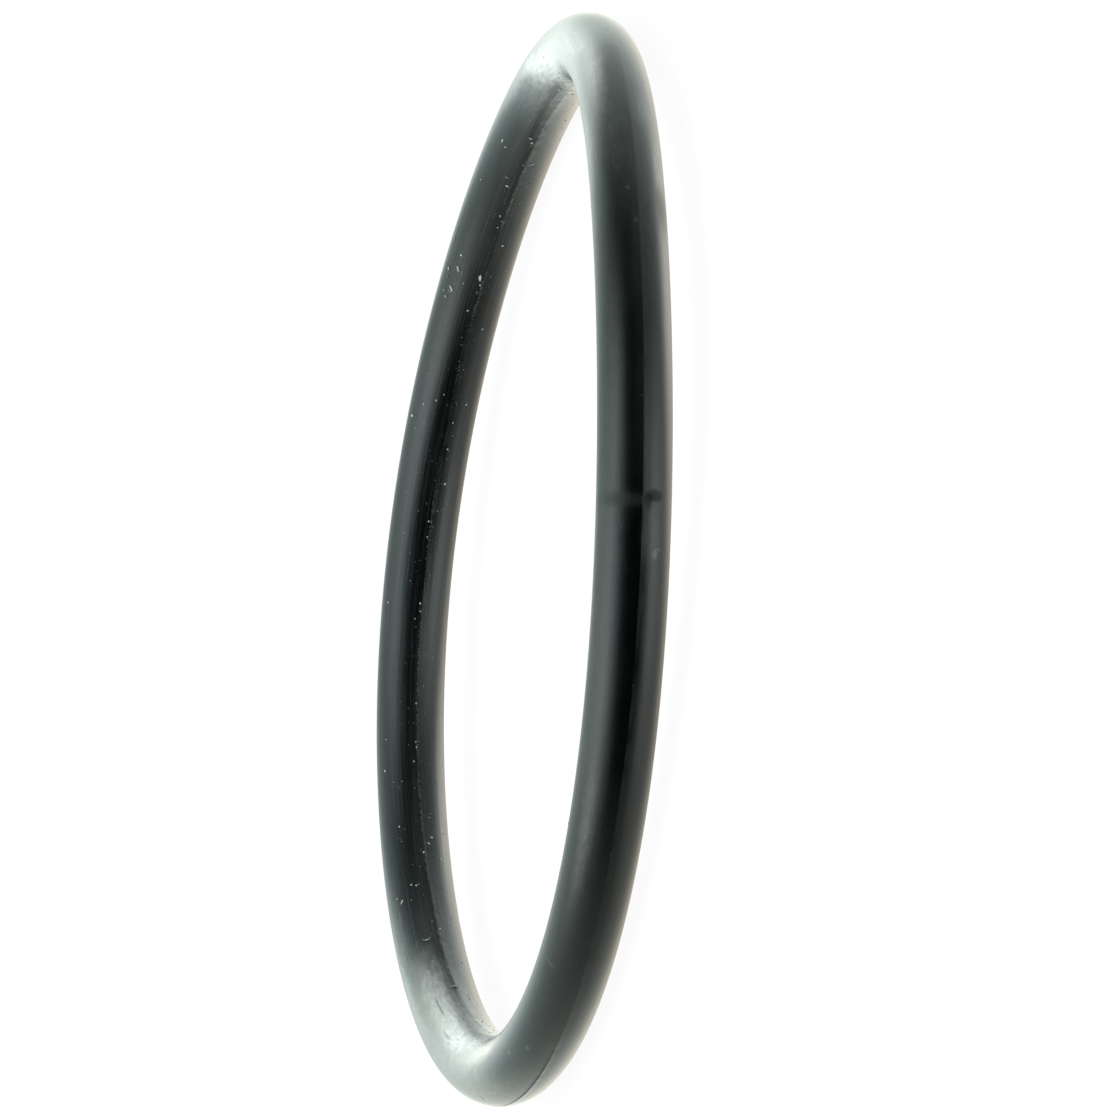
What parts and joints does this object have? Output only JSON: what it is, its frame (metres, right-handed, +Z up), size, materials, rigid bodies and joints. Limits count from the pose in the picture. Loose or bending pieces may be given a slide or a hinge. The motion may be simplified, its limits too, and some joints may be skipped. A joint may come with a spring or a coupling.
{
  "type": "rubber o-ring",
  "caption": "Black rubber o-ring: an endless loop of round cord with a faint mould line inside and outside and a slight kept twist.",
  "frame": {"origin": "under the centre of the loop, on the surface it lies on", "axes": "+Z up along the loop's axis; the loop lies flat, and -Y is the side nearest the camera of the picture"},
  "size_m": [0.0544, 0.0544, 0.0049],
  "materials": {
    "rubber": "satin black moulded rubber, lightly dusty"
  },
  "bodies": {
    "root": {"o_ring": "rubber"}
  },
  "joints": []
}
